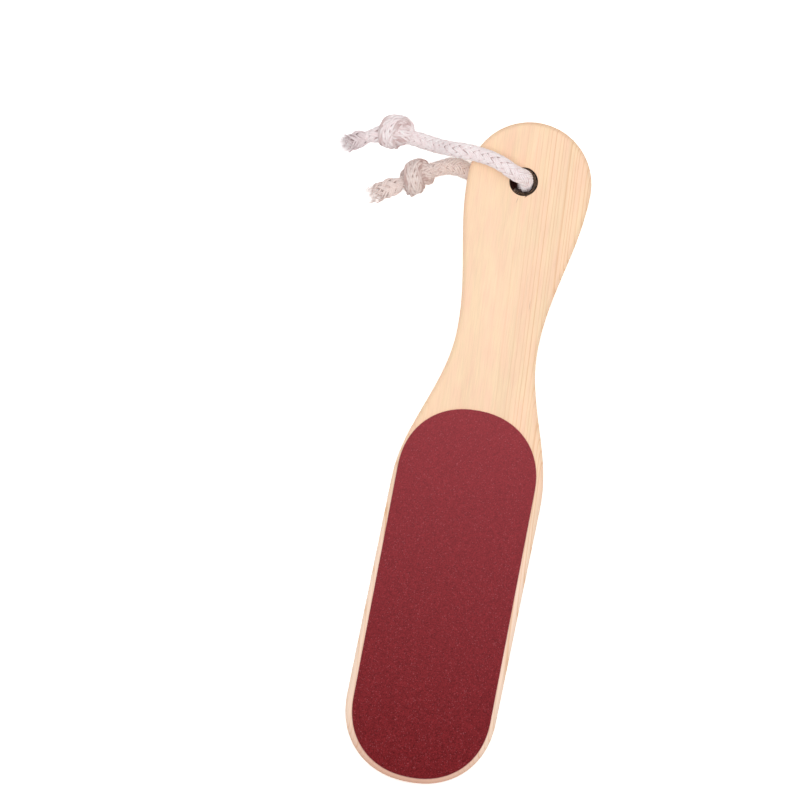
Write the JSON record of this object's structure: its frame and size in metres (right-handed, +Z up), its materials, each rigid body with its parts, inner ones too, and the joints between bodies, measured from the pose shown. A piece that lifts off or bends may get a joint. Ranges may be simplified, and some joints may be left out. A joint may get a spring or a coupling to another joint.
{
  "type": "foot file",
  "caption": "Flat wooden foot file with a fine abrasive sheet on one face, a coarse one on the other and a knotted cotton cord through the handle.",
  "frame": {"origin": "on the table under the middle of the paddle's box, measured without the cord", "axes": "+Y along the paddle towards the handle, the blade points to -Y, +Z up out of the fine face; the paddle leans 1.4 degrees because its handle lies on the cord"},
  "size_m": [0.1052, 0.26, 0.0273],
  "materials": {
    "pine": "bare sanded pine, fine straight grain",
    "glue": "thin dried contact glue",
    "fine_paper": "stiff abrasive paper, cut edge",
    "fine_grit": "fine dark red bonded grit",
    "coarse_paper": "stiff abrasive paper, cut edge",
    "coarse_grit": "coarse black bonded grit with bright facets",
    "cotton_cord": "soft braided cotton",
    "cotton_fibre": "loose cotton fibres"
  },
  "bodies": {
    "paddle": {"wooden_paddle": "pine", "fine_glue": "glue", "fine_paper": "fine_paper", "fine_grit": "fine_grit", "coarse_glue": "glue", "coarse_paper": "coarse_paper", "coarse_grit": "coarse_grit"},
    "cord": {"cord_front": "cotton_cord", "cord_back": "cotton_cord", "knot_front": "cotton_cord", "knot_back": "cotton_cord", "frayed_end_front": "cotton_fibre", "frayed_end_back": "cotton_fibre"}
  },
  "joints": [
    {"name": "cord_swing", "type": "hinge", "parent": "paddle", "child": "cord", "pos_m": [-0.0024, 0.10647, 0.0123], "axis": [0, -0.0248, 0.9997], "range_deg": [-180, 35]}
  ]
}
